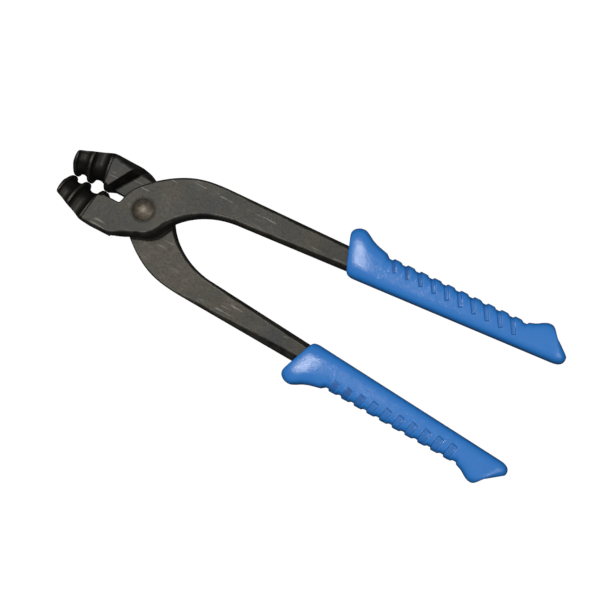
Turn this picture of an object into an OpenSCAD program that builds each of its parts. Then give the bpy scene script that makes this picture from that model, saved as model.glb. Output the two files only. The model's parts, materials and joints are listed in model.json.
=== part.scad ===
// Pipe-bending pliers: two identical lap-joint forgings on one rivet, each with a moulded grip.
// Frame: the pivot runs along Z, +X points to the handles, +Y to the front lever's handle,
// and Z = 0 is the rear lever's flat back face.

/* [Levers] */
// Thickness of one forged lever at the lap joint
lap_t = 9; // [7:0.5:12]
// Radius of the round boss about the pivot
boss_r = 11.2; // [10:0.1:13]
// Distance from the pivot to the point where the arms run straight
bend_x = 40; // [34:1:50]
// Distance from the pivot to where the grips start
grip_x = 95; // [85:1:115]
// Height of the inner edge of the arm above the centre line where it runs straight
arm_inner_y = 13.8; // [12:0.1:16]
// Width of the arm where it runs straight
arm_w = 12.9; // [11:0.1:16]
// Outward slope of the arm's outer edge
outer_slope = 0.036; // [0.02:0.002:0.05]
// Outward slope of the arm's inner edge
inner_slope = 0.08; // [0.06:0.002:0.1]

/* [Jaws] */
// Distance from the pivot to the jaw tip on the mating line
tip_x = 39.5; // [36:0.1:44]
// Distance from the mating line to the jaw's spine
spine_y = 17.4; // [15:0.1:21]
// Distance from the pivot to the corner where the spine starts to taper to the tip
taper_x = 24.5; // [22:0.1:28]
// Half the height of the tip's flat end
tip_y = 10.6; // [9:0.1:13]
// Gap between the closed jaws
jaw_gap = 0.3; // [0.3:0.1:1]
// Lean of the pipe grooves towards the tip
lean = 8; // [0:1:12]
// Half length of the straight clamping land
land_z = 1.5; // [1:0.1:3.5]
// Rise of the grooved formers above the lever's flat faces
former_rise = 0.5; // [0.2:0.1:1]
// Gap between a boss and the drafted wall of the other lever's jaw, at the lap
wall_gap = 5.5; // [4.5:0.1:6.5]
// Draft of that wall
wall_lean = 12; // [4:1:16]

/* [Pipe grooves] */
// Groove radius for the small pipe
small_r = 2.5; // [2:0.05:2.6]
// Groove radius for the large pipe
large_r = 3.3; // [2.8:0.05:3.5]
// Wall between the small groove and the tip
tip_wall = 1.9; // [1.2:0.1:3]
// Width of the ridge between the two grooves
ridge_w = 2.4; // [1.5:0.1:4]
// Width of the lip between the large groove and the step down to the flat face
lip_w = 1.7; // [1.2:0.1:2.2]
// Half height of the relief slot behind the large groove
slot_y = 2; // [1.2:0.1:2.2]
// Land between the step and the far end of the relief slot
slot_land = 0.8; // [0.6:0.1:2.5]

/* [Rivet] */
// Radius of the rivet shank
rivet_r = 4; // [3.5:0.1:5]
// Overhang of the domed head around the shank
head_lip = 1.3; // [0.8:0.1:2.5]
// Height of the domed head
head_h = 2; // [1.5:0.1:2.6]
// Width of the flush countersunk tail around the shank
tail_lip = 1.4; // [0.8:0.1:2.2]

/* [Grips] */
// Length of a grip along the tool
grip_len = 103.6; // [80:0.2:130]
// Thickness of a grip across the tool
grip_t = 14; // [12:0.5:18]
// Distance between finger notches
notch_pitch = 6.5; // [5:0.05:9]
// Depth of a finger notch
notch_d = 0.9; // [0.6:0.1:1.6]
// Height of the guard over the arm's outer edge
guard_h = 9.8; // [7:0.1:12]
// Wall of a grip over the arm's inner edge
sole_wall = 2.1; // [1.5:0.1:3.5]
// Solid length of a grip beyond the end of its arm
tang_wall = 17; // [15:1:40]

/* [Fits] */
// Gap between the two lap faces
lap_gap = 0.1; // [0.06:0.02:0.3]
// Radial running clearance of the rear lever on the rivet
run_clear = 0.05; // [0.02:0.01:0.1]
// Radial clearance of the front lever on the rivet
seat_clear = 0.02; // [0.01:0.01:0.04]
// Clearance between an arm and the socket of its grip
grip_clear = 0.06; // [0.03:0.01:0.15]

/* [Hidden] */
steel = "dimgray";
blue = "steelblue";
former_z = lap_t + former_rise;
former_r = former_z - land_z;
small_x = tip_x - tip_wall - small_r;
large_x = small_x - small_r - ridge_w - large_r;
former_end = large_x - large_r - lip_w;
slot_x = former_end - slot_land;
wall_turn = 30.3;
head_r = rivet_r + head_lip;
tail_r = rivet_r + tail_lip;
tail_x = grip_x + grip_len;
end_x = tail_x - tang_wall;
reach = 60;
bore_fn = 96;

function mix2(a, b, t) = a * (1 - t) + b * t;
// Cubic curve through a and d with handles b and c, without its first point
function curve(a, b, c, d, n) = [for (i = [1:n]) let (t = i / n)
    a * pow(1 - t, 3) + b * 3 * t * pow(1 - t, 2) + c * 3 * t * t * (1 - t) + d * pow(t, 3)];
function outer_y(x) = arm_inner_y + arm_w + (x - bend_x) * outer_slope;
function inner_y(x) = arm_inner_y + (x - bend_x) * inner_slope;

// Outer edge of the arm, from the boss to the straight run
shoulder = [
    each curve([-boss_r, 0], [-boss_r, 5], [-5, 12.2], [4, 18.4], 8),
    each curve([4, 18.4], [12, 23.6], [bend_x - 22, outer_y(bend_x - 22) - 0.2],
        [bend_x - 10, outer_y(bend_x - 10)], 8)];
// Inner edge of the arm, from the straight run back to the boss
boss_exit = boss_r * [cos(21), -sin(21)];
inner_bend = curve([bend_x, inner_y(bend_x)], [bend_x * 0.6, 12.2], [14.2, 2.8], boss_exit, 10);
// Underside of the boss and the spine of the jaw
boss_entry = boss_r * [cos(69), -sin(69)];
boss_arc = [for (a = [-29:-8:-61]) boss_r * [cos(a), sin(a)]];
spine_bend = curve(boss_entry, [-4.6, -14], [-7, -spine_y + 0.1], [-11, -spine_y], 6);
// Rounded tip of the jaw
tip_corner = [-tip_x - tip_y * tan(lean), -tip_y];
spine_corner = [-taper_x, -spine_y];
tip_round = curve(mix2(tip_corner, spine_corner, 0.12), tip_corner, tip_corner,
    tip_corner + [0.3, 2], 4);

module arm_outline(grow) {
    polygon([
        [grip_x - 15, outer_y(grip_x - 15) + grow],
        [grip_x + 8, outer_y(grip_x + 8) + grow],
        [end_x + grow, outer_y(end_x) - 1.2 + grow],
        [end_x + grow, inner_y(end_x) + 0.8 - grow],
        [grip_x + 8, inner_y(grip_x + 8) + 0.4 - grow],
        [grip_x - 15, inner_y(grip_x - 15) - grow]]);
}

module plate_outline() {
    polygon([
        each shoulder,
        [grip_x - 14, outer_y(grip_x - 14)],
        [grip_x - 14, inner_y(grip_x - 14)],
        [bend_x, inner_y(bend_x)],
        each inner_bend,
        each boss_arc,
        boss_entry,
        each spine_bend,
        spine_corner,
        mix2(tip_corner, spine_corner, 0.12),
        each tip_round,
        [-tip_x, -jaw_gap / 2],
        [-slot_x, -jaw_gap / 2],
        [-slot_x + slot_y - jaw_gap / 2, -slot_y],
        [-boss_r - 0.5, -slot_y],
        [-boss_r, -slot_y + 0.5]]);
}

module jaw_outline() {
    intersection() {
        plate_outline();
        translate([-reach, -reach])
            square([reach, reach]);
    }
}

// Everything on the jaw side of the drafted wall beside the other lever's boss
module behind_wall() {
    rotate([0, 0, wall_turn])
        translate([-boss_r - wall_gap, 0, 0])
            rotate([0, wall_lean, 0])
                translate([-reach, -reach, -reach])
                    cube([reach, 2 * reach, 2 * reach]);
}

// The rounded former: convex on both faces, with a short straight land between
module former_solid() {
    for (s = [-1, 1])
        translate([-reach, -former_r - jaw_gap / 2, s * land_z])
            rotate([0, 90, 0])
                cylinder(r = former_r, h = reach, $fn = bore_fn);
    translate([-reach, -former_r - jaw_gap / 2, -land_z])
        cube([reach, former_r, 2 * land_z]);
    translate([-reach, -reach, -former_z])
        cube([reach, reach - former_r - jaw_gap / 2, 2 * former_z]);
}

// The space one pipe sweeps as it is bent over the former, both ways
module pipe_path(x, r) {
    translate([-x, 0, -land_z])
        cylinder(r = r, h = 2 * land_z, $fn = bore_fn);
    translate([-x, 0, 0])
        rotate([0, 0, -lean])
            for (s = [-1, 1]) {
                translate([0, -former_r, s * land_z])
                    rotate([0, 90, 0])
                        rotate([0, 0, s > 0 ? 90 : 0])
                            rotate_extrude(angle = 90, $fn = bore_fn)
                                translate([former_r, 0])
                                    circle(r = r, $fn = 48);
                translate([0, -former_r, s * former_z])
                    rotate([90, 0, 0])
                        cylinder(r = r, h = 20, $fn = bore_fn);
            }
}

// Everything on the tip side of the step between the grooved end and the flat faces
module grooved_end() {
    translate([-former_end, 0, 0])
        rotate([0, 0, -lean])
            translate([-reach, -reach, -reach])
                cube([reach, 2 * reach, 2 * reach]);
}

// The grooved end of the jaw, rounded over the former on both faces
module former_end_block() {
    intersection() {
        translate([0, 0, -former_z])
            linear_extrude(2 * former_z)
                jaw_outline();
        grooved_end();
        former_solid();
    }
}

// The flat-faced lever, and the jaw block that stands past the lap plane
module flat_body() {
    difference() {
        union() {
            translate([0, 0, lap_gap / 2])
                linear_extrude(lap_t - lap_gap / 2) {
                    plate_outline();
                    arm_outline(0);
                }
            intersection() {
                translate([0, 0, -lap_t])
                    linear_extrude(2 * lap_t - 1)
                        jaw_outline();
                behind_wall();
            }
        }
        grooved_end();
    }
}

// One forging: arm towards +X and +Y, jaw towards -X and -Y, lap face at the bottom
module forging() {
    difference() {
        union() {
            flat_body();
            former_end_block();
        }
        pipe_path(small_x, small_r);
        pipe_path(large_x, large_r);
    }
}

module front_lever() {
    color(steel)
        translate([0, 0, lap_t])
            difference() {
                forging();
                cylinder(r = rivet_r + seat_clear, h = 4 * lap_t, center = true, $fn = bore_fn);
            }
}

module rear_lever() {
    color(steel)
        difference() {
            translate([0, 0, lap_t])
                rotate([180, 0, 0])
                    forging();
            cylinder(r = rivet_r + run_clear, h = 4 * lap_t, center = true, $fn = bore_fn);
            rotate_extrude($fn = bore_fn)
                polygon([[0, -1], [tail_r + run_clear + 1, -1], [rivet_r, tail_r + run_clear - rivet_r], [0, 3]]);
        }
}

module pivot_rivet() {
    dome_r = (head_r * head_r + head_h * head_h) / (2 * head_h);
    dome_a = asin(head_r / dome_r);
    color("gray")
        rotate_extrude($fn = bore_fn)
            polygon([
                [0, 0],
                [tail_r, 0],
                [rivet_r, tail_r - rivet_r],
                [rivet_r, 2 * lap_t],
                for (i = [0:8]) let (a = dome_a * (1 - i / 8))
                    [dome_r * sin(a), 2 * lap_t + head_h - dome_r + dome_r * cos(a)]]);
}

// Grip stations: [inner edge point, outer edge point, share of full thickness]
guard_y = outer_y(grip_x - 1) + guard_h;
first_pad = [grip_x + 16.7, guard_y - 5.7];
tail_lift = 3.7;
function sole(x) = [x, inner_y(x) - sole_wall];
function pad(x, d) = [x, first_pad[1] + (x - first_pad[0]) * (outer_slope - 0.005) - d];
front_stations = [
    [sole(grip_x + 0.3) + [0, 2.6], [grip_x - 5.9, guard_y - 5.3], 0.72],
    [sole(grip_x + 0.1) + [0, 1.5], [grip_x - 6.4, guard_y - 3.9], 0.88],
    [sole(grip_x + 1) + [0, 0.5], [grip_x - 5.6, guard_y - 1.9], 0.97],
    [sole(grip_x + 3), [grip_x - 3.4, guard_y - 0.4], 1],
    [sole(grip_x + 5), [grip_x - 0.8, guard_y], 1],
    [sole(grip_x + 7), [grip_x + 1.6, guard_y - 1.1], 1],
    [sole(grip_x + 9), [grip_x + 4.2, guard_y - 2.7], 1],
    [sole(grip_x + 11), [grip_x + 7, guard_y - 3.8], 1],
    [sole(grip_x + 12.6), [grip_x + 10, guard_y - 4.5], 1],
    [sole(grip_x + 13.8), [grip_x + 12.6, guard_y - 5.1], 1]];
notches = 1 + floor((tail_x - 18.2 - first_pad[0]) / notch_pitch);
notch_stations = [for (i = [0:notches - 1], k = [0:3]) let (
        x = first_pad[0] + notch_pitch * (i + [-0.33, -0.06, 0, 0.52][k]),
        d = notch_d * [1, 1, 0, 0.1][k])
    if (i < notches - 1 || k < 3) [sole(x + 0.5), pad(x, d), 1]];
tail_stations = [
    [sole(tail_x - 17), pad(tail_x - 18.2, -1.2), 1],
    [sole(tail_x - 14), pad(tail_x - 16, -2.7), 1],
    [sole(tail_x - 11), pad(tail_x - 14, -tail_lift + 0.1), 1],
    [sole(tail_x - 8), pad(tail_x - 12, -tail_lift), 1],
    [sole(tail_x - 5), pad(tail_x - 10.7, -tail_lift + 0.7), 1],
    [sole(tail_x - 2.6) + [0, 0.4], pad(tail_x - 9.5, -tail_lift + 1.9), 0.95],
    [sole(tail_x - 0.8) + [0, 1.6], pad(tail_x - 8.6, -tail_lift + 3.2), 0.85],
    [sole(tail_x) + [0, 2.9], pad(tail_x - 7.9, -tail_lift + 4.4), 0.7]];
stations = [each front_stations, each notch_stations, each tail_stations];
sides = 20;
squareness = 0.55;
function power(v, p) = sign(v) * pow(abs(v), p);
function ring(s) = [for (k = [0:sides - 1]) let (
        a = 360 * (k + 0.5) / sides,
        m = mix2(s[0], s[1], 0.5 + 0.5 * power(cos(a), squareness)))
    [m[0], m[1], s[2] * grip_t / 2 * power(sin(a), squareness)]];

module grip_body() {
    n = len(stations);
    polyhedron(
        points = [for (s = stations) each ring(s)],
        faces = [
            [for (k = [0:sides - 1]) k],
            [for (k = [sides - 1:-1:0]) (n - 1) * sides + k],
            for (j = [0:n - 2], k = [0:sides - 1]) let (
                    a = j * sides + k, b = j * sides + (k + 1) % sides)
                each [[a, a + sides, b], [b, a + sides, b + sides]]]);
}

module grip() {
    translate([0, 0, lap_t / 2])
        difference() {
            grip_body();
            translate([0, 0, -lap_t / 2 - grip_clear])
                linear_extrude(lap_t + 2 * grip_clear)
                    arm_outline(grip_clear);
        }
}

module front_grip() {
    color(blue)
        translate([0, 0, lap_t])
            grip();
}

module rear_grip() {
    color(blue)
        translate([0, 0, lap_t])
            rotate([180, 0, 0])
                grip();
}

front_lever();
rear_lever();
pivot_rivet();
front_grip();
rear_grip();
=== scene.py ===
"""Pipe-bending pliers over their CAD frame: two forged levers, a rivet and two moulded grips."""
import json
import math
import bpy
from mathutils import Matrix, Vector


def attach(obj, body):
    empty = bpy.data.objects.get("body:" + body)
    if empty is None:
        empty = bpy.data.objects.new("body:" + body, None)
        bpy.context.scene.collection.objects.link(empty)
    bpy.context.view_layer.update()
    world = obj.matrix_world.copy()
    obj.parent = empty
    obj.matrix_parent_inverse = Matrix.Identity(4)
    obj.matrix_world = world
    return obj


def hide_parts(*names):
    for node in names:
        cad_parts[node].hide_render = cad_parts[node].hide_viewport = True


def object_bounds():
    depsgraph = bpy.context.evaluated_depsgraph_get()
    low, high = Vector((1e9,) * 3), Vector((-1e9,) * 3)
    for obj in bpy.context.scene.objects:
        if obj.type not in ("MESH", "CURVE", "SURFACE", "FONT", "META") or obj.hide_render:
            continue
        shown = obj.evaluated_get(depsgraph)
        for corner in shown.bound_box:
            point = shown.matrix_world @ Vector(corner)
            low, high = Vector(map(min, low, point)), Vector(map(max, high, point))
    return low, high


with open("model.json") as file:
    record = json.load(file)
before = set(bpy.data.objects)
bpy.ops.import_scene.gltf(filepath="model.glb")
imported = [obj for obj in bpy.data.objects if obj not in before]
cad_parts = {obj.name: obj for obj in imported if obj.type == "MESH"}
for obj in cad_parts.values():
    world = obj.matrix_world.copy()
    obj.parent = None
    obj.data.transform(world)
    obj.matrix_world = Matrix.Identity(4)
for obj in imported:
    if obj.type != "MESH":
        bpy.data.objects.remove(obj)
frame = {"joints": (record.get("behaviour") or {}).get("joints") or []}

from types import SimpleNamespace

import bpy
import numpy as np
from bpy.props import FloatProperty, FloatVectorProperty, PointerProperty
from mathutils import Euler, Vector

bl_info = {
    "name": "Pipe-bending pliers",
    "version": (1, 0, 0),
    "blender": (4, 5, 0),
    "location": "3D View > Sidebar > Pliers",
    "description": "Forged levers, rivet, moulded grips and a studio for them",
    "category": "Object",
}

CAD_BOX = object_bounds()
PIVOT = Vector(frame["joints"][0]["pos_m"])

# Angles of the forging: the grooves' lean, and the drafted wall's turn about the pivot and its own lean
LEAN, WALL_TURN, WALL_LEAN = (math.radians(degrees) for degrees in (8, 30.3, 12))
# Where the arm's outer and inner edges have left the boss, in millimetres
ARM_OUTER, ARM_INNER = (30, 26.2), (30, 11.6)
# Rounding of both ends of a forging, in millimetres
END_R = 0.9
# Gap between the object and the studio floor, in metres
FLOOR_GAP = 0.0005
# Soft boxes: name, direction as the camera sees it, distance and size in metres, share of the key strength
SOFTBOXES = (("key_box", (-0.41, 0.34, 1), 0.9, (0.08, 0.08), 0.9),
             ("front_box", (0.32, -0.2, 1), 1.3, (0.7, 0.6), 1.2))


# ---------------------------------------------------------------- sizes

def length(name, text, mm, low=0.0):
    """A length property, given in millimetres and kept in metres."""
    return FloatProperty(name=name, description=text, default=mm / 1000, min=low,
                         unit="LENGTH", precision=5)


def share(name, text, value):
    """A plain factor from 0 to 1."""
    return FloatProperty(name=name, description=text, default=value, min=0, max=1, subtype="FACTOR")


def angle(name, text, degrees):
    """An angle, given in degrees and kept in radians."""
    return FloatProperty(name=name, description=text, default=math.radians(degrees), subtype="ANGLE")


def colour(name, text, rgb):
    """A linear colour."""
    return FloatVectorProperty(name=name, description=text, default=rgb, size=3, min=0, max=1,
                               subtype="COLOR")


class ForgingSizes(bpy.types.PropertyGroup):
    lap_t: length("Lap thickness", "Thickness of one lever at the lap joint", 9)
    lap_gap: length("Lap gap", "Gap between the two lap faces", 0.1)
    boss_r: length("Boss radius", "Radius of the round boss about the pivot", 11.2)
    bend_x: length("Bend", "Distance from the pivot to where the arms run straight", 40)
    arm_inner_y: length("Arm height", "Height of the arm's inner edge at the bend", 13.8)
    outer_rise: length("Outer rise", "Rise of the arm's outer edge over 100 mm", 3.6)
    inner_rise: length("Inner rise", "Rise of the arm's inner edge over 100 mm", 8)
    arm_w: length("Arm width", "Width of the arm at the bend", 12.9)
    end_x: length("Arm end", "Distance from the pivot to the arm's end inside its grip", 181.6)
    spine_y: length("Spine", "Distance from the mating line to the jaw's spine", 17.45)
    taper_x: length("Taper corner", "Distance from the pivot to where the spine tapers to the tip", 24.5)
    tip_x: length("Tip", "Distance from the pivot to the jaw tip", 39.58)
    tip_y: length("Tip height", "Half the height of the tip's flat end", 10.6)
    jaw_gap: length("Jaw gap", "Gap between the closed jaws", 0.12)
    land_z: length("Land", "Half length of the straight clamping land", 0.5)
    former_y: length("Former depth", "How far in from the mating line the former is rounded", 11.5)
    former_rise: length("Former rise", "Rise of the grooved end above the flat faces", 0.5)
    small_r: length("Small groove", "Half width of the small pipe's groove", 2.95)
    small_d: length("Small groove depth", "Depth of the small pipe's groove", 2.15)
    small_x: length("Small groove place", "Distance from the pivot to the small groove", 35.1)
    large_r: length("Large groove", "Half width of the large pipe's groove", 3.85)
    large_d: length("Large groove depth", "Depth of the large pipe's groove", 3.2)
    large_x: length("Large groove place", "Distance from the pivot to the large groove", 26.9)
    step_x: length("Step", "Distance from the pivot to the step behind the grooved end", 21.9)
    slot_x: length("Slot", "Distance from the pivot to the far end of the relief slot", 21.84)
    slot_y: length("Slot half height", "Half height of the relief slot", 2)
    wall_d: length("Wall", "Distance from the pivot to the drafted wall at the lap", 16.7)
    rim: length("Rim rounding", "Rounding of the groove rims", 0.3)
    draft: length("Boss draft", "How far the boss swells out below its face edge", 0.7)
    edge: length("Edge rounding", "Rounding of the forged edges", 1.3)
    bevel_top: length("Face bevel", "Bevel of the arm's face edges at the grip", 1.9)
    bevel_lap: length("Lap bevel", "Bevel of the arm's outer lap edge at the grip", 3.4)


class GripSizes(bpy.types.PropertyGroup):
    grip_x: length("Grip start", "Distance from the pivot to where the grips start", 95)
    grip_len: length("Grip length", "Length of a grip along the tool", 103.25)
    grip_t: length("Grip thickness", "Thickness of a grip across the tool", 13.9)
    pitch: length("Notch pitch", "Distance between finger notches", 6.5)
    first_pad: length("First pad", "Distance from the grip's start to its first pad", 16.7)
    rear_seat: length("Rear seat", "How much further along its arm the rear grip sits", 0.38)
    swell: length("Guard swell", "How much thicker each face is behind the guard than along the pads", 0.45)
    notch_d: length("Notch depth", "Depth of a finger notch", 0.9)
    guard_h: length("Guard", "Height of the guard over the arm's outer edge", 9.8)
    sole_wall: length("Sole wall", "Wall over the arm's inner edge", 2.1)
    tail_lift: length("Tail lift", "Rise of the flared tail over the pads", 3.7)
    recess_l: length("Recess length", "Length of a notch's slanted recess on the face away from the lap", 7)
    recess_w: length("Recess width", "Width of that recess", 2.1)
    patch_l: length("Patch length", "Length of a pad's square recess on the other face", 5.2)
    patch_w: length("Patch width", "Width of that recess", 3.4)
    recess_d: length("Recess depth", "Depth of both", 0.42)


class RivetSizes(bpy.types.PropertyGroup):
    shank_r: length("Shank radius", "Radius of the rivet's shank", 4)
    head_r: length("Head radius", "Radius of the domed head", 5.3)
    head_h: length("Head height", "Height of the domed head", 2)
    tail_r: length("Tail radius", "Radius of the countersunk tail", 5.4)


class Finishes(bpy.types.PropertyGroup):
    steel: colour("Steel", "Dark phosphated steel", (0.029, 0.0288, 0.0255))
    steel_worn: colour("Worn steel", "Steel where handling has rubbed it", (0.11, 0.108, 0.095))
    rivet: colour("Rivet", "Brownish bare rivet steel", (0.115, 0.10, 0.078))
    plastic: colour("Grip plastic", "Blue moulded plastic", (0.022, 0.185, 0.57))
    plastic_dark: colour("Grip plastic, deep", "The same plastic where it is thick and shaded",
                         (0.012, 0.10, 0.34))


class StudioSettings(bpy.types.PropertyGroup):
    distance: length("Camera distance", "Distance from the camera to its aim on the lap plane", 675)
    aim_x: length("Aim along", "Aim point along the tool", 81.6)
    aim_y: length("Aim across", "Aim point across the tool", -2.66, low=-1)
    lens: FloatProperty(name="Lens", description="Focal length", default=90, min=10, unit="CAMERA")
    tilt: angle("Tilt", "How far below straight-on the camera stands", 7)
    turn: angle("Turn", "How far right of straight-on the camera stands", 7)
    roll: angle("Roll", "How far the tool slopes down to the right in the frame", 28.39)
    key: FloatProperty(name="Key light", description="Strength of the soft boxes", default=3.2, min=0,
                       unit="POWER")
    dome: share("Dome", "Brightness of the studio dome overhead", 0.55)


def in_mm(group):
    """The lengths of a property group as plain numbers of millimetres."""
    return SimpleNamespace(**{k: getattr(group, k) * 1000 for k in type(group).__annotations__})


# ---------------------------------------------------------------- curves and surfaces

def bezier(a, b, c, d, n):
    """Cubic curve through a and d with handles b and c, without its first point."""
    t = np.arange(1, n + 1)[:, None] / n
    a, b, c, d = (np.asarray(p, float) for p in (a, b, c, d))
    return a * (1 - t) ** 3 + b * 3 * t * (1 - t) ** 2 + c * 3 * t * t * (1 - t) + d * t ** 3


class Edge:
    """A polyline that is read by its arc length."""

    def __init__(self, *parts):
        self.p = np.vstack([np.atleast_2d(np.asarray(q, float)) for q in parts])
        step = np.linalg.norm(np.diff(self.p, axis=0), axis=1)
        self.s = np.concatenate([[0], np.cumsum(step)])

    def at(self, s):
        """Points at arc lengths s."""
        return np.stack([np.interp(s, self.s, self.p[:, i]) for i in (0, 1)], -1)

    def inward(self, s, side):
        """Unit normals at s, averaged over half a millimetre, on the side given by its sign."""
        t = self.at(s + 0.25) - self.at(s - 0.25)
        n = np.stack([-t[:, 1], t[:, 0]], -1) * side
        return n / np.linalg.norm(n, axis=1, keepdims=True)

    def where(self, value, wanted):
        """Arc lengths at which value(points), which runs one way along the edge, equals wanted."""
        v = value(self.p)
        order = np.argsort(v, kind="stable")
        return np.interp(wanted, v[order], self.s[order])

    def near(self, point):
        """Arc length of the vertex closest to a point."""
        return self.s[np.argmin(np.linalg.norm(self.p - np.asarray(point), axis=1))]


def closed_mesh(name, rings, first, last, **attributes):
    """Joins rings (n, m, 3) of points in millimetres into one closed skin, with a fan to a pole at
    each end, and stores per-vertex attributes (n, m) with it. Faces are turned outwards."""
    n, m = rings.shape[:2]
    verts = np.vstack([rings.reshape(-1, 3), first, last]) / 1000
    i, j = np.meshgrid(np.arange(n - 1), np.arange(m), indexing="ij")
    k = (j + 1) % m
    quads = np.stack([i * m + j, i * m + k, (i + 1) * m + k, (i + 1) * m + j], -1).reshape(-1, 4)
    j, k = np.arange(m), (np.arange(m) + 1) % m
    fans = np.vstack([np.stack([np.full(m, n * m), k, j], -1),
                      np.stack([np.full(m, n * m + 1), (n - 1) * m + j, (n - 1) * m + k], -1)])
    a, b, c, d = (verts[quads[:, q]] for q in range(4))
    if np.sum(np.cross(b - a, c - a) * a) + np.sum(np.cross(c - a, d - a) * a) < 0:
        quads, fans = quads[:, ::-1], fans[:, ::-1]
    mesh = bpy.data.meshes.new(name)
    mesh.from_pydata(verts.tolist(), [], quads.tolist() + fans.tolist())
    mesh.shade_smooth()
    for key, values in attributes.items():
        layer = mesh.attributes.new(key, "FLOAT", "POINT")
        layer.data.foreach_set("value", np.append(values.ravel(), [0, 0]).astype(np.float32))
    piece = bpy.data.objects.new(name, mesh)
    bpy.context.scene.collection.objects.link(piece)
    return piece


def smooth(values, width):
    """Gaussian smoothing of rows of values, width rows wide, with both ends held."""
    half = int(3 * width) + 1
    weights = np.exp(-0.5 * (np.arange(-half, half + 1) / width) ** 2)
    weights /= weights.sum()
    v = np.atleast_2d(values.T).T
    padded = np.vstack([2 * v[0] - v[half:0:-1], v, 2 * v[-1] - v[-2:-half - 2:-1]])
    out = np.stack([np.convolve(padded[:, c], weights, "valid") for c in range(v.shape[1])], -1)
    return out.reshape(values.shape)


# ---------------------------------------------------------------- forged levers

def groove_profile(centre, radius, depth, rim):
    """Places along the jaw and depths across one half-round groove: its rims are quarter circles of
    radius rim, and between them the depth is the height of a circle scaled to the groove's depth."""
    a = np.linspace(0, np.pi / 2, 5)
    low = np.arcsin(rim / depth)
    b = np.linspace(np.pi - low, low, 19)[1:-1]
    left = np.stack([centre - radius - rim + rim * np.sin(a), rim * (1 - np.cos(a))], -1)
    floor = np.stack([centre + radius * np.cos(b), depth * np.sin(b)], -1)
    right = left[::-1] * [-1, 1] + [2 * centre, 0]
    return np.vstack([left, floor, right])


def soft_corner(a, b, c, before, after, n):
    """Rounds corner b of a path a-b-c with a quadratic curve that starts and ends that far from b."""
    a, b, c = (np.asarray(p, float) for p in (a, b, c))
    p = b + (a - b) / np.linalg.norm(a - b) * before
    q = b + (c - b) / np.linalg.norm(c - b) * after
    t = np.linspace(0, 1, n)[:, None]
    return p * (1 - t) ** 2 + b * 2 * t * (1 - t) + q * t ** 2


def outer_y(s, x):
    """Height of the arm's straight outer edge at a distance from the pivot."""
    return s.arm_inner_y + s.arm_w + (x - s.bend_x) * s.outer_rise / 100


def inner_y(s, x):
    """Height of the arm's straight inner edge at a distance from the pivot."""
    return s.arm_inner_y + (x - s.bend_x) * s.inner_rise / 100


def lever_outline(s):
    """The two long edges of a forging, from the jaw tip to the arm's end: the mating line, slot, boss and
    outer arm edge on one side, and the tip corner, spine, boss and inner arm edge on the other."""
    g = s.jaw_gap / 2
    mate = Edge(
        [[-s.tip_x, -g], [-s.step_x, -g], [-s.slot_x, -g], [-s.slot_x + 0.55 * s.slot_y, -s.slot_y]],
        soft_corner([-15, -s.slot_y], [-s.boss_r - s.draft, -s.slot_y], [-s.boss_r, 0.5], 0.6, 0.6, 6),
        [-s.boss_r, 0],
        bezier([-s.boss_r, 0], [-s.boss_r, 5], [-5, 12.2], [4, 18.4], 30),
        bezier([4, 18.4], [12, 23.6], [s.bend_x - 22, outer_y(s, s.bend_x - 22) - 0.2],
               [s.bend_x - 10, outer_y(s, s.bend_x - 10)], 30),
        [s.end_x, outer_y(s, s.end_x)])
    tip = np.array([-s.tip_x - s.tip_y * math.tan(LEAN), -s.tip_y])
    corner = np.array([-s.taper_x, -s.spine_y])
    turn = tip + (corner - tip) * 0.17
    boss = s.boss_r + s.draft
    entry, leave = (boss * np.array([math.cos(a), math.sin(a)]) for a in map(math.radians, (-69, -21)))
    arc = np.radians(np.linspace(-66, -24, 15))
    bend = [s.bend_x, inner_y(s, s.bend_x)]
    spine = Edge(
        tip + [0.35, 2.5], bezier(tip + [0.35, 2.5], tip, tip, turn, 10),
        soft_corner(turn, corner, [-13, -s.spine_y], 1.6, 1.6, 8),
        [-11, -s.spine_y],
        bezier([-11, -s.spine_y], [-7, -s.spine_y + 0.1], [-4.6, -14], entry, 24),
        boss * np.stack([np.cos(arc), np.sin(arc)], -1),
        leave, bezier(leave, [14.2, 2.8], [s.bend_x * 0.6, 12.2], bend, 40),
        [s.end_x, inner_y(s, s.end_x)])
    return mate, spine


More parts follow.
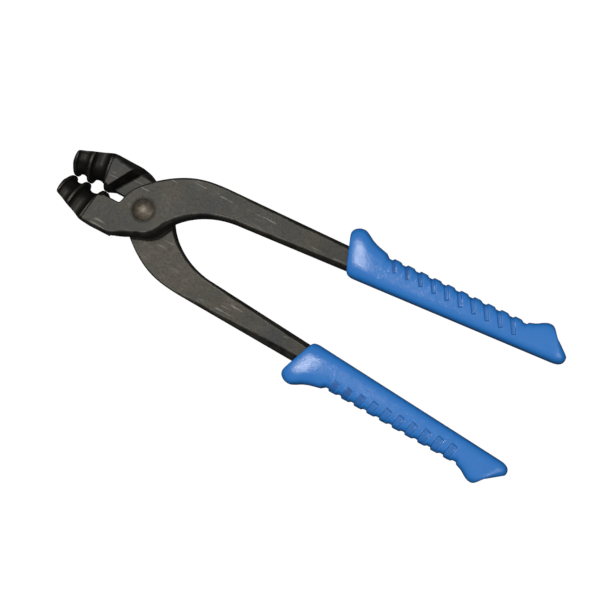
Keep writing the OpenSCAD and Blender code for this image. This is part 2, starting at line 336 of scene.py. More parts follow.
def lever_stations(s):
    """Sections of a forging, as straight lines from the mating edge to the spine edge. They lean with the
    grooves at the jaw, fan round to the drafted wall's line, and then sweep round the boss to the arm.
    Each has its arc lengths on both edges, upper and lower face heights, groove depth and end inset."""
    mate, spine = lever_outline(s)
    g, tan = s.jaw_gap / 2, math.tan(LEAN)
    top, block, lap = s.lap_t + s.former_rise, s.lap_t, s.lap_gap / 2

    # grooved end: lines that lean with the grooves
    small = groove_profile(-s.small_x, s.small_r, s.small_d, s.rim)
    large = groove_profile(-s.large_x, s.large_r, s.large_d, s.rim)
    ridge = np.linspace(small[-1, 0], large[0, 0], 5)[1:-1]
    lip = np.linspace(large[-1, 0], -s.step_x - 0.3, 4)[1:]
    flat = np.vstack([small, np.stack([ridge, 0 * ridge], -1), large, np.stack([lip, 0 * lip], -1)])
    a = np.linspace(0, np.pi / 2, 7)
    tip = -s.tip_x + END_R * (1 - np.cos(a))
    x = np.concatenate([tip, flat[:, 0]])
    depth = np.concatenate([0 * tip, flat[:, 1]])
    inset = np.concatenate([END_R * (1 - np.sin(a)), 0 * flat[:, 0]])
    step = soft_corner([-s.step_x - 1, 0], [-s.step_x, 0], [-s.step_x + 0.06, 1], 0.22, 0.2, 4)
    foot = soft_corner([-s.step_x, -1], [-s.step_x + 0.06, s.former_rise],
                       [-s.step_x + 1, s.former_rise], 0.2, 0.12, 4)
    x = np.concatenate([x, step[:, 0], foot[:, 0]])
    drop = np.concatenate([0 * depth, step[:, 1], foot[:, 1]])
    depth, inset = (np.pad(v, (0, len(step) + len(foot))) for v in (depth, inset))
    leaning = spine.p[:60, 0] - spine.p[:60, 1] * tan
    u1 = np.interp(x, mate.p[:3, 0], mate.s[:3])
    l1 = np.interp(x + g * tan, leaning, spine.s[:60])

    # drafted wall: lines along it, at distances that follow its rounded profile
    n = np.array([math.cos(WALL_TURN), math.sin(WALL_TURN)])
    crest = np.array([s.wall_d + (s.lap_t + lap) * math.tan(WALL_LEAN), -block])
    base = np.array([s.wall_d, lap])
    profile = np.vstack([soft_corner(crest + [2, 0], crest, base, 0.12, 0.8, 6),
                         soft_corner(crest, base, base + [-2, 0], 1.3, 1.0, 8)])
    u3, l3 = (edge.where(lambda p: p @ n, -profile[:, 0]) for edge in (mate, spine))

    # fan between the two
    t = np.linspace(0, 1, 20)[1:-1]
    u2, l2 = u1[-1] + (u3[0] - u1[-1]) * t, l1[-1] + (l3[0] - l1[-1]) * t

    # round the boss and out along the arm
    pairs = [(u3[-1], l3[-1]),
             (mate.near([-s.boss_r, -1]), spine.near([-4.0, -14.6])),
             (mate.near([-9.6, 6.5]), spine.near([3.8, -10.6])),
             (mate.near([-4.5, 11.7]), spine.near([7.9, -7.9])),
             (mate.near([4, 18.4]), spine.near([10.8, -3.4])),
             (mate.near([14, 23.2]), spine.near([18.0, 5.6])),
             (mate.near(ARM_OUTER), spine.near(ARM_INNER)),
             (mate.s[-1], spine.s[-1])]
    count = (12, 14, 12, 12, 14, 14, 90)
    t = np.concatenate([k + np.arange(1, c + 1) / c for k, c in enumerate(count)])
    u4, l4 = (np.interp(t, np.arange(len(pairs)), key) for key in np.array(pairs).T)
    inset4 = np.concatenate([np.zeros(len(u4) - 1), END_R * (1 - np.cos(a))])
    u4, l4 = (np.concatenate([v[:-1], v[-1] - END_R + END_R * np.sin(a)]) for v in (u4, l4))

    u, l = np.concatenate([u1, u2, u3, u4]), np.concatenate([l1, l2, l3, l4])
    zero = np.zeros(len(u))
    n1, n2, n3 = len(u1), len(u2), len(u3)
    high, low = zero + s.lap_t, zero + lap
    high[:n1] = top - drop
    low[:n1] = -(top - drop)
    low[n1:n1 + n2] = -block
    low[n1 + n2:n1 + n2 + n3] = profile[:, 1]
    deep, pull = zero.copy(), zero.copy()
    deep[:n1], pull[:n1], pull[-len(inset4):] = depth, inset, inset4
    return mate, spine, u, l, high, low, deep, pull, (n1, n1 + n2)


def forging(s, grip_start):
    """Rings of points round each section of one forging. A section is a rectangle with cut corners whose
    eight angles are rounded; the former's large radius is two such angles that meet. Grooves then lower
    the former along its normal, and elsewhere hold the surface below the groove's floor. The bevels reach
    their full size where the grip starts."""
    mate, spine, u, l, high, low, deep, pull, (n1, n2) = lever_stations(s)
    a, b = mate.at(u), spine.at(l)
    line = b - a
    w = np.linalg.norm(line, axis=1)
    e = line / w[:, None]
    skew_u = 1 / np.clip(np.sum(e * mate.inward(u, -1), 1), 0.55, 1)
    skew_l = 1 / np.clip(np.sum(-e * spine.inward(l, 1), 1), 0.55, 1)
    skew_u[u < mate.s[3] + 0.6] = 1
    a, b = a + e * pull[:, None], b - e * pull[:, None]
    w, high, low = w - 2 * pull, high - pull, low + pull

    # corner cuts and rounding lengths along the lever, keyed by arc length on the two edges
    former = s.lap_t + s.former_rise - s.land_z
    q = math.tan(math.pi / 8)
    reach = np.minimum(s.former_y, w[:n1] - 0.7)
    w[:n1] *= former / reach
    at_step, at_slot = mate.s[1], mate.s[3]
    grip, bend = mate.s[-1] - (s.end_x - grip_start), mate.near(ARM_OUTER)
    ku = [0, at_step + 0.1, at_slot + 0.6, mate.near([-s.boss_r, 0]), bend, grip, mate.s[-1]]
    big, fine, e1 = former * (1 - q), 0.45, s.edge * (1 - q)
    cut_ut = np.interp(u, ku, [3, 3, fine, 0.6, e1, s.bevel_top * 0.9, s.bevel_top * 0.9])
    cut_ub = np.interp(u, ku, [3, 3, fine, 0.4, e1 * 0.8, s.bevel_lap, s.bevel_lap])
    slope = np.interp(u, [0, at_step + 0.1, at_slot + 0.6], [2.2, 2.2, 1])
    cut_ut[:n1] = cut_ub[:n1] = big
    slope[:n1] = 1
    rnd_u = np.interp(u, ku, [0.6, 0.6, 0.3, 0.5, s.edge * q * 1.3, 0.5, 0.5])
    rnd_u[:n1] = former * q
    grip, bend = spine.s[-1] - (s.end_x - grip_start), spine.near(ARM_INNER)
    kl = [0, spine.near([-13, -17]), spine.near([8, -8]), bend, grip, spine.s[-1]]
    cut_lt = np.interp(l, kl, [e1 * 0.9, e1 * 1.6, e1 * 1.2 + s.draft, e1 * 1.3, s.bevel_top, s.bevel_top])
    cut_lb = np.interp(l, kl, [e1 * 0.9, e1 * 1.2, e1 * 0.7, e1, s.bevel_top * 1.1, s.bevel_top * 1.1])
    rnd_l = np.interp(l, kl, [s.edge * q, s.edge * q, s.edge * q, 0.6, 0.5, 0.5])
    row = np.arange(len(u))
    block = np.interp(row, [0, n1, n2 + 12, n2 + 26], [0, 1, 1, 0])
    cut_lb = cut_lb + (np.interp(row, [n1, n2], [1.5, 3]) - cut_lb) * block
    rnd_b = rnd_l + 0.9 * block
    fall = 1 + block

    # the section's eight corners: u and l stand for the mating and spine side, t and b for top and bottom
    tall = (high - low) * 0.46
    cut_ut, cut_ub, cut_lt, cut_lb = (np.minimum(v, tall) for v in (cut_ut, cut_ub, cut_lt, cut_lb))
    zero = 0 * w
    corner = np.stack([
        np.stack([cut_ut * skew_u, high], -1), np.stack([w - cut_lt * skew_l, high], -1),
        np.stack([w, high - cut_lt], -1), np.stack([w, low + np.minimum(cut_lb * fall, tall)], -1),
        np.stack([w - cut_lb * skew_l, low], -1), np.stack([cut_ub * skew_u, low], -1),
        np.stack([zero, low + np.minimum(cut_ub * 0.8 * slope, tall)], -1),
        np.stack([zero, high - np.minimum(cut_ut * slope, tall)], -1)], 1)
    corner[:n1, 6, 1] = (low + cut_ub)[:n1]
    rnd = np.stack([rnd_u, rnd_l, rnd_l, rnd_b, rnd_b, rnd_u, rnd_u, rnd_u], 1)
    ahead, behind = np.roll(corner, -1, 1) - corner, np.roll(corner, 1, 1) - corner
    len_a, len_b = np.linalg.norm(ahead, axis=2), np.linalg.norm(behind, axis=2)
    rnd = np.minimum(rnd, 0.5 * np.minimum(len_a, len_b))[:, :, None]
    start, stop = corner + behind / len_b[..., None] * rnd, corner + ahead / len_a[..., None] * rnd
    t = np.linspace(0, 1, 7)[None, None, :, None]
    turn = (start[:, :, None] * (1 - t) ** 2 + corner[:, :, None] * 2 * t * (1 - t)
            + stop[:, :, None] * t ** 2)
    parts, edge = [], []
    between = [26, 1, 7, 1, 26, 1, 7, 1]
    for k in range(8):
        parts.append(turn[:, k])
        edge.append(np.sin(np.linspace(0.25, 0.75, 7) * np.pi * 2 - np.pi / 2) * 0.5 + 0.5)
        t = (np.arange(1, between[k] + 1) / (between[k] + 1))[None, :, None]
        parts.append(stop[:, k, None] * (1 - t) + start[:, (k + 1) % 8, None] * t)
        edge.append(np.full(between[k], 0.0 if between[k] > 1 else 0.8))
    section = np.concatenate(parts, 1)
    edge = np.tile(np.concatenate(edge), (len(u), 1))

    # the former stretched to an ellipse, and the grooves in it
    across = reach[:, None]
    p, z, d = section[:n1, :, 0] * across / former, section[:n1, :, 1], deep[:n1, None]
    inside = p < across
    land = np.clip(z, -s.land_z, s.land_z)
    dp, dz = (p - across) / across ** 2, (z - land) / former ** 2
    size = np.maximum(np.hypot(dp, dz), 1e-9)
    dp, dz = dp / size, dz / size
    cut = np.maximum(d - s.jaw_gap / 2 * np.clip(-dp, 0, 1), 0) * (d > 0)
    top = s.lap_t + s.former_rise
    section[:n1, :, 0] = np.where(inside, p - cut * dp, p)
    section[:n1, :, 1] = np.where(inside, z - cut * dz, np.clip(z, -(top - d), top - d))
    rim = np.zeros(len(u))
    rim[:n1] = np.exp(-(deep[:n1] / 0.35) ** 2) * (deep[:n1] > 0.001)
    edge[:n1] = np.maximum(edge[:n1] * 0.15, rim[:n1, None])
    # groove depth, stored for the painted shade that darkens the grooves
    cavity = np.zeros_like(edge)
    cavity[:n1] = np.clip(deep[:n1, None] / 2.4, 0, 1)

    xy = a[:, None] + e[:, None] * section[:, :, :1]
    rings = np.concatenate([xy, section[:, :, 1:]], 2)
    return rings, edge, cavity


def shrink(ring, factor):
    """A ring drawn in towards its own middle."""
    return ring.mean(0) * (1 - factor) + ring * factor


def make_lever(name, node, body, flip):
    """One forged lever, replacing its CAD node. The rear one is the front one turned half way about X."""
    s = in_mm(bpy.context.scene.pliers_forging)
    rings, edge, cavity = forging(s, in_mm(bpy.context.scene.pliers_grips).grip_x)
    rings = np.concatenate([[shrink(rings[0], 0.4), shrink(rings[0], 0.8)], rings,
                            [shrink(rings[-1], 0.8), shrink(rings[-1], 0.4)]])
    edge, cavity = (np.pad(v, ((2, 2), (0, 0))) for v in (edge, cavity))
    if flip:
        rings = rings * [1, -1, -1]
    rings = rings + [0, 0, s.lap_t]
    piece = closed_mesh(name, rings, rings[0].mean(0), rings[-1].mean(0), edge=edge, cavity=cavity)
    piece.data.materials.append(steel_finish())
    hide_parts(node)
    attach(piece, body)
    return piece


# ---------------------------------------------------------------- rivet

def make_rivet():
    """Rivet: a profile of radius and height turned about the pivot. The head is a cap of a sphere with a
    small cheek under its rim, and the tail a countersunk cone with a slightly crowned end."""
    s, f = in_mm(bpy.context.scene.pliers_rivet), in_mm(bpy.context.scene.pliers_forging)
    top = 2 * f.lap_t
    ball = (s.head_r ** 2 + s.head_h ** 2) / (2 * s.head_h)
    a = np.linspace(math.asin((s.head_r - 0.06) / ball), 0, 26)[:-1]
    dome = np.stack([ball * np.sin(a), top + s.head_h - ball + ball * np.cos(a)], -1)
    r = np.linspace(0.3, s.tail_r - 0.35, 14)
    crown = np.stack([r, -0.16 + 0.1 * (r / s.tail_r) ** 2], -1)
    profile = np.vstack([
        crown, soft_corner([0, -0.05], [s.tail_r, -0.05], [s.tail_r, 0.5], 0.3, 0.12, 5),
        [s.shank_r, s.tail_r - s.shank_r], [s.shank_r, top - 0.1], [s.head_r - 0.25, top - 0.02],
        soft_corner([s.head_r - 0.3, top], [s.head_r, top], dome[0], 0.18, 0.12, 5), dome])
    turn = np.linspace(0, 2 * np.pi, 128, endpoint=False)
    rings = np.stack([profile[:, :1] * np.cos(turn), profile[:, :1] * np.sin(turn),
                      np.repeat(profile[:, 1:], 128, 1)], -1)
    piece = closed_mesh("rivet", rings, [0, 0, -0.16], [0, 0, top + s.head_h])
    piece.data.materials.append(rivet_finish())
    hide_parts("pivot_rivet")
    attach(piece, "front_half")
    return piece


# ---------------------------------------------------------------- grips

def grip_outline(s, f):
    """Inner edge, outer edge and share of thickness along a grip: a swept guard, eleven pads with notches
    before them, and a flared tail. The keys are joined by straight runs and then softened, more at the
    guard and tail than along the pads."""
    guard_y = outer_y(f, s.grip_x - 1) + s.guard_h
    pad_x, pad_y = s.grip_x + s.first_pad, guard_y - 5.7
    tail = s.grip_x + s.grip_len
    gx, lift = s.grip_x, s.tail_lift

    def sole(x, up=0.0):
        return [x, inner_y(f, x) - s.sole_wall + up]

    def pad(x, d):
        return [x, pad_y + (x - pad_x) * (f.outer_rise / 100 - 0.005) - d]

    keys = [
        (sole(gx + 0.3, 2.6), [gx - 5.9, guard_y - 5.3], 0.7),
        (sole(gx + 0.1, 1.5), [gx - 6.4, guard_y - 3.9], 0.78),
        (sole(gx + 1, 0.5), [gx - 5.6, guard_y - 1.9], 0.86),
        (sole(gx + 3), [gx - 3.4, guard_y - 0.4], 0.93),
        (sole(gx + 5), [gx - 0.8, guard_y], 0.972), (sole(gx + 7), [gx + 1.6, guard_y - 1.1], 0.993),
        (sole(gx + 9), [gx + 4.2, guard_y - 2.7], 1), (sole(gx + 11), [gx + 7, guard_y - 3.8], 1),
        (sole(gx + 12.6), [gx + 10, guard_y - 4.5], 1), (sole(gx + 13.8), [gx + 12.6, guard_y - 5.1], 1)]
    notches = 1 + int((tail - 18.2 - pad_x) / s.pitch)
    for i in range(notches):
        for at, d in ((-0.33, 1), (-0.06, 1), (0, 0), (0.5, 0.1)):
            x = pad_x + s.pitch * (i + at)
            if x < pad_x + s.pitch * (notches - 1) + 0.1:
                keys.append((sole(x + 0.5), pad(x, s.notch_d * d), 1))
    keys += [
        (sole(tail - 17), pad(tail - 18.2, -1.2), 1), (sole(tail - 14), pad(tail - 16, -2.7), 1),
        (sole(tail - 11), pad(tail - 14, -lift + 0.1), 1), (sole(tail - 8), pad(tail - 12, -lift), 1),
        (sole(tail - 4.4), pad(tail - 10.8, -lift + 0.6), 1),
        (sole(tail - 2.7, 0.2), pad(tail - 10.1, -lift + 1.3), 0.99),
        (sole(tail - 1.2, 0.8), pad(tail - 9.5, -lift + 2.0), 0.96),
        (sole(tail - 0.3, 1.8), pad(tail - 9, -lift + 2.8), 0.91),
        (sole(tail, 3.0), pad(tail - 8.6, -lift + 3.6), 0.84),
        (sole(tail - 0.25, 4.1), pad(tail - 8.2, -lift + 4.3), 0.74)]
    inner, outer = np.array([k[0] for k in keys]), np.array([k[1] for k in keys])
    thick = np.array([k[2] for k in keys])
    run = np.maximum(*(np.linalg.norm(np.diff(v, axis=0), axis=1) for v in (outer, inner)))
    run = np.concatenate([[0], np.cumsum(run)])
    fine = np.arange(0, run[-1], 0.26)
    rows = np.stack([np.interp(fine, run, v) for v in (*inner.T, *outer.T, thick)], -1)
    soft, crisp = smooth(rows, 3), smooth(rows, 0.8)
    x = rows[:, 2]
    along = np.clip((x - gx - 9) / 4, 0, 1) * np.clip((tail - 19 - x) / 2, 0, 1)
    rows = soft + (crisp - soft) * along[:, None]
    rows[:, 4] -= s.swell / (s.grip_t / 2) * np.clip((x - gx - 6) / 22, 0, 1)
    marks = np.array([(pad_x + s.pitch * i, pad_y - 0.3) for i in range(notches - 1)])
    return rows[:, 0:2], rows[:, 2:4], rows[:, 4], marks


def recess(xy, marks, slant, size, deep):
    """Depth of the recesses at points of a broad face: inside a square-ended strip of that width and length
    which runs in from each mark at the slant, with walls that fall over a third of a millimetre. The first
    three are shallower, the first one most."""
    depth = np.zeros(xy.shape[:-1])
    way = np.array([math.sin(slant), -math.cos(slant)])
    side = np.array([way[1], -way[0]])
    for i, mark in enumerate(marks):
        rel = xy - mark
        room = np.minimum(size[0] / 2 - np.abs(rel @ side), size[1] - rel @ way)
        wall = np.clip(room / 0.36, 0, 1)
        depth = np.maximum(depth, deep * min(1.0, 0.35 + 0.25 * i) * wall * wall * (3 - 2 * wall))
    return depth


def make_grip(name, node, body, flip):
    """One moulded grip. Each ring is a superellipse between an inner and an outer edge point, read evenly
    along its length. The front is closed by a shallow socket round the arm, the tail by a dished end."""
    s, f = in_mm(bpy.context.scene.pliers_grips), in_mm(bpy.context.scene.pliers_forging)
    inner, outer, thick, marks = grip_outline(s, f)
    m, half, power, usual_arm = 150, s.grip_t / 2, 0.5, 8.5
    a = np.linspace(0, 2 * np.pi, 4001)
    ring = np.stack([np.sign(v) * np.abs(v) ** power for v in (np.cos(a), np.sin(a))], -1)
    walk = np.concatenate([[0], np.cumsum(np.hypot(*(np.diff(ring, axis=0) * [usual_arm, half]).T))])
    even = np.linspace(0, walk[-1], m, endpoint=False)
    ring = np.stack([np.interp(even, walk, ring[:, i]) for i in (0, 1)], -1)

    mid, arm = (inner + outer) / 2, (outer - inner) / 2
    xy = mid[:, None] + arm[:, None] * ring[None, :, :1]
    z = thick[:, None] * half * ring[None, :, 1]
    z = z * (1 - 0.035 * ring[None, :, 0] ** 2)
    broad = np.clip((np.abs(ring[None, :, 1]) - 0.55) / 0.3, 0, 1)
    slanted = recess(xy, marks - [0.45, 0], math.radians(33), (s.recess_w, s.recess_l), s.recess_d)
    square = recess(xy, marks + [1.2, 0], math.radians(13), (s.patch_w, s.patch_l), s.recess_d)
    depth = np.where(z > 0, slanted, square) * broad
    z = np.sign(z) * np.maximum(np.abs(z) - depth, 0)
    rings = np.concatenate([xy, z[..., None]], 2)

    # socket round the arm, and a dished tail
    way = (outer[0] - inner[0]) / np.linalg.norm(outer[0] - inner[0])
    mouth_low, mouth_high, mouth_half, mouth_deep = 0.25, 11.4, 4.86, 4
    low, high = inner[0] + way * mouth_low, inner[0] + way * mouth_high
    mouth = (low + high) / 2 + (high - low) / 2 * ring[:, :1]
    mouth = np.concatenate([mouth, mouth_half * ring[:, 1:]], 1)
    lip = (rings[0] * 0.35 + mouth * 0.65) + [0.12, 0, 0]
    deep = mouth + [mouth_deep, 0, 0]
    way = np.append(outer[-1] - inner[-1], 0)
    out = np.array([way[1], -way[0], 0]) / np.linalg.norm(way)
    dish = ((0.93, 0.22), (0.85, 0.3), (0.7, 0.22), (0.4, 0.0))
    tail = [shrink(rings[-1], share_left) + out * lift for share_left, lift in dish]
    rings = np.concatenate([[shrink(deep, 0.5), deep, mouth + [0.3, 0, 0], lip], rings, tail])
    edge = np.zeros(rings.shape[:2])
    # recess depth, stored for the painted shade in the recesses
    edge[4:-4] = depth / max(s.recess_d, 1e-6)
    rings = rings + [0, 0, f.lap_t / 2]
    if flip:
        rings = rings * [1, -1, -1] + [s.rear_seat, 0, 0]
    rings = rings + [0, 0, f.lap_t]
    piece = closed_mesh(name, rings, rings[0].mean(0), rings[-1].mean(0), recess=edge)
    piece.data.materials.append(plastic_finish())
    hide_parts(node)
    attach(piece, body)
    return piece


# ---------------------------------------------------------------- finishes

class Value:
    """A number socket that can be used in Python expressions; each operation adds a Math node."""

    def __init__(self, finish, socket):
        self.finish, self.socket = finish, socket

    def maths(self, operation, *others):
        """A Math node on this value and the others."""
        return self.finish.node("ShaderNodeMath", {"operation": operation},
                                dict(enumerate((self, *others))))

    def __add__(self, other):
        return self.maths("ADD", other)

    def __mul__(self, other):
        return self.maths("MULTIPLY", other)

    def __sub__(self, other):
        return self.maths("SUBTRACT", other)

    def __rsub__(self, other):
        return self * -1 + other

    __radd__, __rmul__ = __add__, __mul__

    def clear(self, low, high):
        """0 at low, 1 at high and held outside them."""
        return self.finish.node("ShaderNodeMapRange", {"interpolation_type": "SMOOTHSTEP"},
                                {"Value": self, "From Min": low, "From Max": high})


class Finish:
    """A material whose nodes are made by one method."""

    def __init__(self, name):
        self.material = bpy.data.materials.new(name)
        self.material.use_nodes = True
        self.tree = self.material.node_tree
        self.shader = self.tree.nodes["Principled BSDF"]
        self.place = self.node("ShaderNodeTexCoord", {}, {}, "Object")

    def node(self, kind, settings, inputs, output=0):
        """Adds a node of that type, sets its settings first, then its sockets, and returns one output."""
        made = self.tree.nodes.new(kind)
        for key, value in settings.items():
            setattr(made, key, value)
        for key, value in inputs.items():
            socket = made.inputs[key]
            if isinstance(value, Value):
                self.tree.links.new(value.socket, socket)
            else:
                socket.default_value = value
        return Value(self, made.outputs[output])

    def attribute(self, name):
        """A value stored with the mesh's vertices."""
        return self.node("ShaderNodeAttribute", {"attribute_name": name}, {}, "Fac")

    def noise(self, size, detail=3.0, rough=0.55, stretch=None, turn=(0, 0, 0)):
        """Noise whose patches are about size millimetres across."""
        at = self.place
        if stretch:
            at = self.node("ShaderNodeMapping", {}, {"Vector": at, "Rotation": turn, "Scale": stretch})
        return self.node("ShaderNodeTexNoise", {}, {
            "Vector": at, "Scale": 1000 / size, "Detail": detail, "Roughness": rough}, "Fac")

    def blend(self, factor, a, b):
        """Colour a where factor is 0 and b where it is 1."""
        rgba = lambda c: c if isinstance(c, Value) else (*c, 1)
        return self.node("ShaderNodeMix", {"data_type": "RGBA"}, {0: factor, 6: rgba(a), 7: rgba(b)}, 2)

    def radius(self, centre):
        """Distance from an axis along Z through centre, in millimetres."""
        flat = self.node("ShaderNodeVectorMath", {"operation": "MULTIPLY_ADD"}, {
            0: self.place, 1: (1000, 1000, 0), 2: (-1000 * centre[0], -1000 * centre[1], 0)})
        return self.node("ShaderNodeVectorMath", {"operation": "LENGTH"}, {0: flat}, "Value")

    def bump(self, height, distance, strength, normal=None):
        """A normal tilted by a height, on top of another normal if one is given."""
        inputs = {"Height": height, "Distance": distance, "Strength": strength}
        if normal:
            inputs["Normal"] = normal
        return self.node("ShaderNodeBump", {}, inputs)

    def feed(self, **sockets):
        """Sets or links sockets of the shader; underscores stand for spaces."""
        for key, value in sockets.items():
            socket = self.shader.inputs[key.replace("_", " ")]
            if isinstance(value, Value):
                self.tree.links.new(value.socket, socket)
            else:
                socket.default_value = value
        return self.material


def tint(rgb, factor, warm=0.0):
    """A colour made lighter or darker, and warmer or greener."""
    red, green, blue = (c * factor for c in rgb)
    return min(1, red * (1 + warm)), min(1, green), min(1, blue * (1 - warm))


def steel_finish():
    """Dark phosphated forging: cloudy grey with greenish and brownish patches, fine blast grain, lighter
    rubbed edges and groove rims, faint scratches along the arm, and painted shade: a dark ring round the
    rivet and darker grooves."""
    c = bpy.context.scene.pliers_finishes
    m = Finish("phosphated_forging")
    head_r = in_mm(bpy.context.scene.pliers_rivet).head_r
    cloud, patch = m.noise(22, 3, 0.6), m.noise(6, 4, 0.65)
    grain, pits = m.noise(0.55, 2, 0.6), m.noise(1.5, 3, 0.6)
    edge, cavity = m.attribute("edge"), m.attribute("cavity")
    base = m.blend(cloud.clear(0.35, 0.65), tint(c.steel, 0.8, -0.05), tint(c.steel, 1.22, 0.14))
    base = m.blend(patch.clear(0.42, 0.66) * 0.6, base, tint(c.steel, 1.75, 0.1))
    base = m.blend(m.noise(0.9, 2, 0.6).clear(0.56, 0.72) * 0.5, base, tint(c.steel, 2.1, 0.04))
    base = m.blend(pits.clear(0.5, 0.68) * 0.45, base, tint(c.steel, 0.55, 0.1))
    base = m.blend(grain.clear(0.35, 0.72) * 0.5, base, tint(c.steel, 0.5))
    worn = edge.clear(0.25, 1.0) * patch.clear(0.38, 0.6)
    base = m.blend(worn * 0.55, base, tuple(c.steel_worn))
    line = m.noise(1.1, 2, 0.5, stretch=(0.05, 1, 1), turn=(0, 0, -0.12)).clear(0.62, 0.67)
    line = line * m.noise(9, 1, 0.5).clear(0.52, 0.62)
    base = m.blend(line * 0.7, base, tuple(c.steel_worn))
    ring = m.radius(PIVOT)
    # painted shade: a dark ring on the lever just outside the rivet head, for the shaded gap at its edge
    rivet_shade = ring.clear(head_r + 0.8, head_r) * 0.85
    # painted shade in the grooves, darker the deeper they are, laid with the ring's painted shade
    base = m.blend(rivet_shade + cavity * 0.75, base, tint(c.steel, 0.25, 0.1))
    rough = 0.46 + (patch - 0.5) * 0.25 - worn * 0.12
    spot = ring.clear(head_r + 0.9, head_r + 0.6) * -0.5
    skin = m.bump(grain * 0.6 + pits * 0.4, 0.00012, 0.5)
    normal = m.bump(spot, 0.0002, 0.6, skin)
    return m.feed(Base_Color=base, Roughness=rough, Normal=normal, Metallic=0.75)


def rivet_finish():
    """Bare rivet steel gone brownish and cloudy, with a fine grain and painted shade darkening the head's
    rim.
    """
    c = bpy.context.scene.pliers_finishes
    m = Finish("bare_rivet_steel")
    head_r = in_mm(bpy.context.scene.pliers_rivet).head_r
    ring = m.radius(PIVOT)
    cloud, grain = m.noise(2.2, 3, 0.6), m.noise(0.4, 2, 0.6)
    base = m.blend(cloud.clear(0.35, 0.7), tint(c.rivet, 0.8, 0.05), tint(c.rivet, 1.4))
    # painted shade: the head's rim darkened where it meets the lever
    base = m.blend(ring.clear(head_r - 0.6, head_r - 0.05) * 0.8, base, tint(c.rivet, 0.2))
    normal = m.bump(grain + cloud * 0.8, 0.00015, 0.5)
    return m.feed(Base_Color=base, Roughness=0.36 + cloud * 0.15, Normal=normal, Metallic=0.8)


def plastic_finish():
    """Satin blue moulded plastic: slight cloudiness, a fine spark-eroded grain, faint darker flow marks and
    painted shade in the recesses.
    """
    c = bpy.context.scene.pliers_finishes
    m = Finish("moulded_blue_plastic")
    cloud, grain = m.noise(16, 2, 0.5), m.noise(0.5, 2, 0.6)
    flow = m.noise(4, 2, 0.5, stretch=(0.25, 1, 1))
    recess_mask = m.attribute("recess")
    base = m.blend(cloud.clear(0.3, 0.7) * 0.35, tuple(c.plastic), tint(c.plastic, 1.08))
    # painted shade: recess walls darkest, floors a little darker; the faint flow marks are the plastic's
    # own tone
    wall = recess_mask * (1 - recess_mask) * 3
    base = m.blend(wall + recess_mask * 0.3 + flow.clear(0.5, 0.8) * 0.08, base, tuple(c.plastic_dark))
    rough = 0.22 + (grain - 0.5) * 0.2
    normal = m.bump(grain, 0.00012, 0.6)
    return m.feed(Base_Color=base, Roughness=rough, Normal=normal, IOR=1.5)


# ---------------------------------------------------------------- studio

def make_sweep(low):
    """White studio sweep: a flat floor disc that turns up into a dome round the camera. The profile of
    radius and height is turned about the upright axis. It gives no light and takes no shadow."""
    flat, bend, around = 4, 2, 64
    dome = flat + bend
    t = np.linspace(0, np.pi / 2, 24)
    r = np.concatenate([np.linspace(0.05, flat, 12), flat + bend * np.sin(t), dome * np.cos(t[1:-1])])
    z = np.concatenate([np.zeros(12), bend - bend * np.cos(t), bend + dome * np.sin(t[1:-1])])
    turn = np.linspace(0, 2 * np.pi, around, endpoint=False)
    rings = np.stack([r[:, None] * np.cos(turn), r[:, None] * np.sin(turn),
                      np.repeat(z[:, None], around, 1)], -1)
    sweep = closed_mesh("studio_sweep", rings * 1000, [0, 0, 0], [0, 0, (bend + dome) * 1000])
    sweep.location.z = low
    material = bpy.data.materials.new("white_sweep")
    material.use_nodes = True
    shader = material.node_tree.nodes["Principled BSDF"]
    shader.inputs["Base Color"].default_value = (0, 0, 0, 1)
    shader.inputs["Specular IOR Level"].default_value = 0
    shader.inputs["Emission Color"].default_value = (1, 1, 1, 1)
    shader.inputs["Emission Strength"].default_value = 1.02
    sweep.data.materials.append(material)
    sweep.visible_diffuse = sweep.visible_glossy = sweep.visible_shadow = False
    return sweep


def make_softbox(name, aim, direction, distance, size, power):
    """An area light that faces the aim point from a direction."""
    data = bpy.data.lights.new(name, "AREA")
    data.shape, data.size, data.size_y = "RECTANGLE", size[0], size[1]
    data.energy = power
    lamp = bpy.data.objects.new(name, data)
    away = Vector(direction).normalized()
    lamp.location = aim + away * distance
    lamp.rotation_mode = "QUATERNION"
    lamp.rotation_quaternion = (-away).to_track_quat("-Z", "Y")
    bpy.context.scene.collection.objects.link(lamp)
    return lamp


def make_dome(brightness):
    """World light: bright overhead, dim at the horizon and darker below, by the ray's direction."""
    world = bpy.data.worlds.new("studio_dome")
    world.use_nodes = True
    nodes, links = world.node_tree.nodes, world.node_tree.links
    coord, split = nodes.new("ShaderNodeTexCoord"), nodes.new("ShaderNodeSeparateXYZ")
    ramp = nodes.new("ShaderNodeMapRange")
    ramp.interpolation_type = "SMOOTHSTEP"
    for key, value in (("From Min", 0.1), ("From Max", 1.0), ("To Min", 0.03), ("To Max", brightness)):
        ramp.inputs[key].default_value = value
    links.new(coord.outputs["Generated"], split.inputs[0])
    links.new(split.outputs["Z"], ramp.inputs["Value"])
    links.new(ramp.outputs[0], nodes["Background"].inputs["Strength"])
    nodes["Background"].inputs["Color"].default_value = (1, 1, 1, 1)
    bpy.context.scene.world = world


def make_camera(s):
    """Camera at the distance, tilt, turn and roll set, aimed at a point on the lap plane."""
    data = bpy.data.cameras.new("camera")
    data.lens, data.sensor_width = s.lens, 36
    data.clip_start, data.clip_end = 0.01, 100
    camera = bpy.data.objects.new("camera", data)
    turned = (Euler((0, 0, s.roll)).to_matrix() @ Euler((0, s.turn, 0)).to_matrix()
              @ Euler((s.tilt, 0, 0)).to_matrix())
    aim = Vector((s.aim_x, s.aim_y, PIVOT.z))
    camera.rotation_mode = "QUATERNION"
    camera.rotation_quaternion = turned.to_quaternion()
    camera.location = aim + turned @ Vector((0, 0, s.distance))
    bpy.context.scene.collection.objects.link(camera)
    bpy.context.scene.camera = camera
    return turned


# ---------------------------------------------------------------- operators

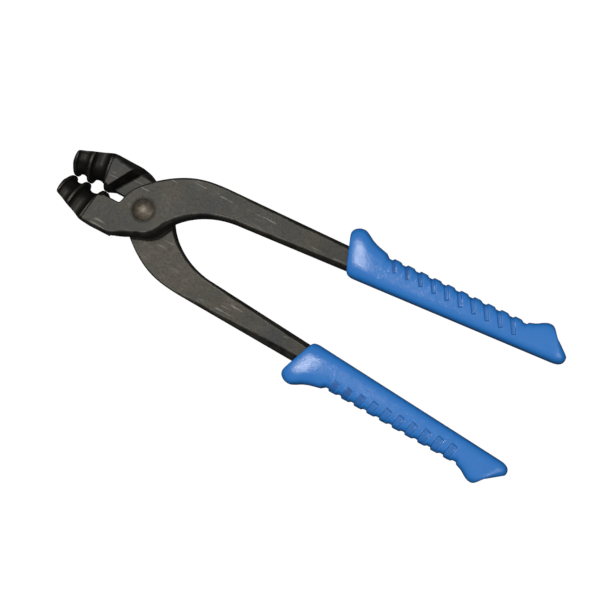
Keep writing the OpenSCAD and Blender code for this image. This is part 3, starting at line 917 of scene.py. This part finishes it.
class PLIERS_OT_levers(bpy.types.Operator):
    """Makes both forged levers"""
    bl_idname = "pliers.levers"
    bl_label = "Levers"

    def execute(self, context):
        make_lever("lever_front", "front_lever", "front_half", False)
        make_lever("lever_rear", "rear_lever", "rear_half", True)
        return {"FINISHED"}


class PLIERS_OT_rivet(bpy.types.Operator):
    """Makes the pivot rivet"""
    bl_idname = "pliers.rivet"
    bl_label = "Rivet"

    def execute(self, context):
        make_rivet()
        return {"FINISHED"}


class PLIERS_OT_grips(bpy.types.Operator):
    """Makes both moulded grips"""
    bl_idname = "pliers.grips"
    bl_label = "Grips"

    def execute(self, context):
        make_grip("grip_front", "front_grip", "front_half", False)
        make_grip("grip_rear", "rear_grip", "rear_half", True)
        return {"FINISHED"}


class PLIERS_OT_studio(bpy.types.Operator):
    """Makes the floor sweep, the lights and the camera"""
    bl_idname = "pliers.studio"
    bl_label = "Studio"

    def execute(self, context):
        s = context.scene.pliers_studio
        context.scene.view_settings.view_transform = "Standard"
        make_sweep(CAD_BOX[0].z - FLOOR_GAP)
        make_dome(s.dome)
        turned = make_camera(s)
        aim = Vector((s.aim_x, s.aim_y, PIVOT.z))
        for name, direction, distance, size, strength in SOFTBOXES:
            make_softbox(name, aim, turned @ Vector(direction), distance, size, s.key * strength)
        return {"FINISHED"}


class PLIERS_PT_panel(bpy.types.Panel):
    """Lists the pieces and their sizes"""
    bl_idname = "PLIERS_PT_panel"
    bl_label = "Pipe-bending pliers"
    bl_space_type = "VIEW_3D"
    bl_region_type = "UI"
    bl_category = "Pliers"

    def draw(self, context):
        for operator, group in (("levers", "forging"), ("rivet", "rivet"),
                                ("grips", "grips"), ("studio", "studio")):
            box = self.layout.box()
            box.operator("pliers." + operator)
            values = getattr(context.scene, "pliers_" + group)
            for key in type(values).__annotations__:
                box.prop(values, key)
        for key in Finishes.__annotations__:
            self.layout.prop(context.scene.pliers_finishes, key)


GROUPS = {"forging": ForgingSizes, "grips": GripSizes, "rivet": RivetSizes,
          "finishes": Finishes, "studio": StudioSettings}
OPERATORS = (PLIERS_OT_levers, PLIERS_OT_rivet, PLIERS_OT_grips, PLIERS_OT_studio)


def register():
    """Adds the property groups to the scene type, and the operators and panel."""
    for key, group in GROUPS.items():
        bpy.utils.register_class(group)
        setattr(bpy.types.Scene, "pliers_" + key, PointerProperty(type=group))
    for item in (*OPERATORS, PLIERS_PT_panel):
        bpy.utils.register_class(item)


def unregister():
    """Removes what register added, in the opposite order."""
    for item in (PLIERS_PT_panel, *reversed(OPERATORS)):
        bpy.utils.unregister_class(item)
    for key, group in GROUPS.items():
        delattr(bpy.types.Scene, "pliers_" + key)
        bpy.utils.unregister_class(group)


def main():
    """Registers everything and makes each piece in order."""
    register()
    bpy.ops.pliers.levers()
    bpy.ops.pliers.rivet()
    bpy.ops.pliers.grips()
    bpy.ops.pliers.studio()


if __name__ == "__main__":
    main()
